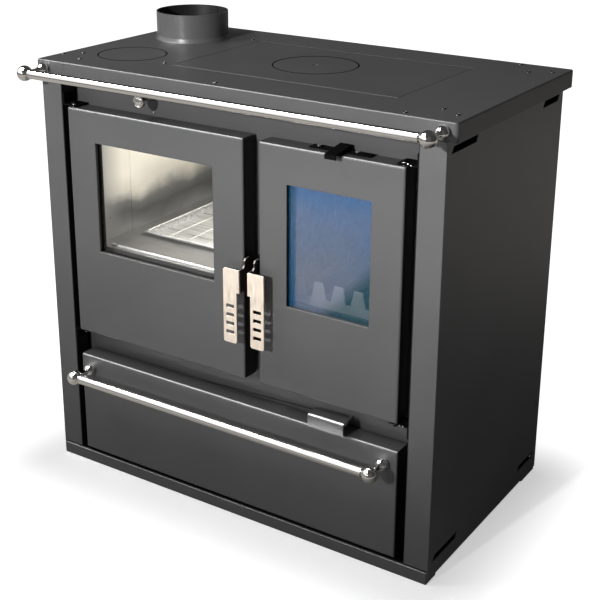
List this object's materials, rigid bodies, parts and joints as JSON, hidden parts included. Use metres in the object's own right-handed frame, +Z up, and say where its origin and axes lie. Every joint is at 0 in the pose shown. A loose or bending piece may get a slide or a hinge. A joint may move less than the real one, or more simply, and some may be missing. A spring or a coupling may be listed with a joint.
{
  "type": "wood burning cookstove",
  "caption": "Freestanding wood burning cookstove with an oven door, a firebox door, a wood drawer, chrome rails, a cooking plate with a round lid and a flue collar.",
  "frame": {"origin": "on the floor under the middle of the whole footprint, rails included", "axes": "+X to the right seen from the front, the doors face -Y, +Z up along the flue collar"},
  "size_m": [0.9, 0.5629, 0.907],
  "materials": {
    "casing_paint": "satin",
    "worktop_paint": "satin",
    "inner_black": "matte",
    "hotplate_steel": "satin",
    "flue_enamel": "satin",
    "chrome": "polished",
    "lever_steel": "brushed",
    "pin_steel": "satin",
    "screw_steel": "satin",
    "oven_steel": "satin",
    "window_glass": "polished",
    "coated_glass": "polished",
    "seal_black": "matte",
    "firebrick": "matte",
    "grate_iron": "rough"
  },
  "bodies": {
    "stove": {"plinth": "casing_paint", "base_plate": "inner_black", "side_panel_left": "casing_paint", "side_panel_right": "casing_paint", "back_panel": "casing_paint", "front_plate": "inner_black", "heat_shields": "inner_black", "drawer_bay_roof": "inner_black", "drawer_runners": "inner_black", "top_frame": "inner_black", "worktop": "worktop_paint", "worktop_screws": "screw_steel", "hotplate_ledges": "inner_black", "flue_spigot": "flue_enamel", "top_rail": "chrome", "top_rail_balls": "chrome", "top_rail_posts": "chrome", "hinge_brackets": "inner_black", "latch_keeper": "inner_black", "oven_liner": "oven_steel", "oven_bearers": "inner_black", "oven_tray": "oven_steel", "divider_plate": "inner_black", "smoke_shelf": "inner_black", "firebox_shell": "inner_black", "firebricks_left": "firebrick", "firebricks_right": "firebrick", "firebricks_back": "firebrick", "grate": "grate_iron", "ash_pan": "inner_black", "log_fence": "grate_iron"},
    "oven_door": {"oven_door_shell": "casing_paint", "oven_door_glass": "window_glass", "oven_door_seals": "seal_black", "oven_door_clips": "inner_black", "oven_door_inner_panel": "inner_black", "oven_door_pins": "pin_steel"},
    "oven_latch": {"oven_latch_lever": "lever_steel"},
    "firebox_door": {"firebox_door_shell": "casing_paint", "firebox_door_glass": "coated_glass", "firebox_door_seals": "seal_black", "firebox_door_clips": "inner_black", "firebox_door_inner_panel": "inner_black", "firebox_door_pins": "pin_steel"},
    "firebox_latch": {"firebox_latch_lever": "lever_steel"},
    "secondary_air": {"secondary_air_slider": "lever_steel"},
    "wood_drawer": {"drawer_front": "casing_paint", "drawer_box": "inner_black", "drawer_rail": "chrome", "drawer_rail_balls": "chrome", "drawer_rail_posts": "chrome"},
    "smoke_damper": {"smoke_damper_plate": "pin_steel", "smoke_damper_knob": "chrome"},
    "primary_air": {"primary_air_handle": "lever_steel", "primary_air_rod": "pin_steel", "primary_air_spring": "pin_steel"},
    "cooking_plate": {"hotplate_insert": "hotplate_steel"},
    "round_lid": {"hotplate_lid": "hotplate_steel"},
    "cleaning_lid": {"cleaning_cover": "hotplate_steel"}
  },
  "joints": [
    {"name": "oven_door_hinge", "type": "hinge", "parent": "stove", "child": "oven_door", "pos_m": [-0.361, -0.2045, 0.534], "axis": [0, 0, -1], "range_deg": [0, 110]},
    {"name": "firebox_door_hinge", "type": "hinge", "parent": "stove", "child": "firebox_door", "pos_m": [0.356, -0.2045, 0.534], "axis": [0, 0, 1], "range_deg": [0, 110]},
    {"name": "oven_latch_pivot", "type": "hinge", "parent": "oven_door", "child": "oven_latch", "pos_m": [0.04875, -0.2035, 0.512], "axis": [-1, 0, 0], "range_deg": [0, 30]},
    {"name": "firebox_latch_pivot", "type": "hinge", "parent": "firebox_door", "child": "firebox_latch", "pos_m": [0.07025, -0.2035, 0.512], "axis": [-1, 0, 0], "range_deg": [0, 30]},
    {"name": "secondary_air_slide", "type": "slide", "parent": "firebox_door", "child": "secondary_air", "axis": [1, 0, 0], "range_m": [0, 0.02]},
    {"name": "wood_drawer_slide", "type": "slide", "parent": "stove", "child": "wood_drawer", "axis": [0, -1, 0], "range_m": [0, 0.35]},
    {"name": "smoke_damper_pull", "type": "slide", "parent": "stove", "child": "smoke_damper", "axis": [0, -1, 0], "range_m": [0, 0.1]},
    {"name": "primary_air_pull", "type": "slide", "parent": "stove", "child": "primary_air", "axis": [0, -1, 0], "range_m": [0, 0.05]},
    {"name": "cooking_plate_lift", "type": "slide", "parent": "stove", "child": "cooking_plate", "axis": [0, 0, 1], "range_m": [0, 0.08]},
    {"name": "round_lid_lift", "type": "slide", "parent": "cooking_plate", "child": "round_lid", "axis": [0, 0, 1], "range_m": [0, 0.08]},
    {"name": "cleaning_lid_lift", "type": "slide", "parent": "stove", "child": "cleaning_lid", "axis": [0, 0, 1], "range_m": [0, 0.08]}
  ]
}
